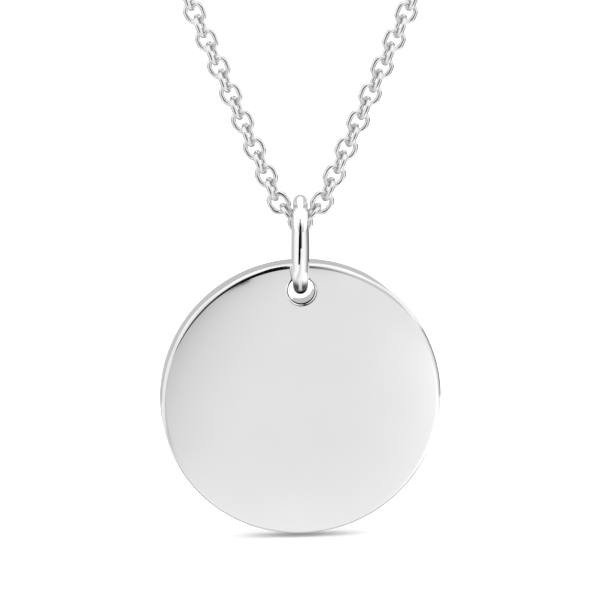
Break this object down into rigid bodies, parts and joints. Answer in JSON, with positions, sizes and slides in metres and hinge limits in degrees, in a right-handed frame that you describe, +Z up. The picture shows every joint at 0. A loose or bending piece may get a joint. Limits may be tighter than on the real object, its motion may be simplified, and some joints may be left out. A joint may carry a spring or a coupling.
{
  "type": "disc pendant on a chain",
  "caption": "Plain round disc pendant with a hole near its top, hanging on an oval bail from a fine link chain necklace.",
  "frame": {"origin": "middle of the neck, level with the place where the chain crosses the neck's sides", "axes": "+Z up along the neck; the disc's face looks along -Y, turned 5 degrees towards +X as it hangs; +X to the viewer's right"},
  "size_m": [0.1102, 0.1123, 0.1346],
  "materials": {
    "disc_silver": "polished silver with faint hairline marks",
    "bail_silver": "bright polished silver wire",
    "chain_silver": "bright polished silver wire",
    "clasp_silver": "polished silver"
  },
  "bodies": {
    "chain": {"middle_link": "chain_silver", "links_left": "chain_silver", "links_right": "chain_silver", "chain_left": "chain_silver", "chain_right": "chain_silver", "clasp": "clasp_silver"},
    "bail": {"bail": "bail_silver"},
    "pendant": {"disc": "disc_silver"}
  },
  "joints": [
    {"name": "bail_swing", "type": "hinge", "parent": "chain", "child": "bail", "pos_m": [0, -0.054, -0.09236], "axis": [1, 0, 0], "range_deg": [-25, 25]},
    {"name": "disc_swing", "type": "hinge", "parent": "bail", "child": "pendant", "pos_m": [0, -0.054, -0.0977], "axis": [-0.0872, 0.9962, 0], "range_deg": [-50, 50]}
  ]
}
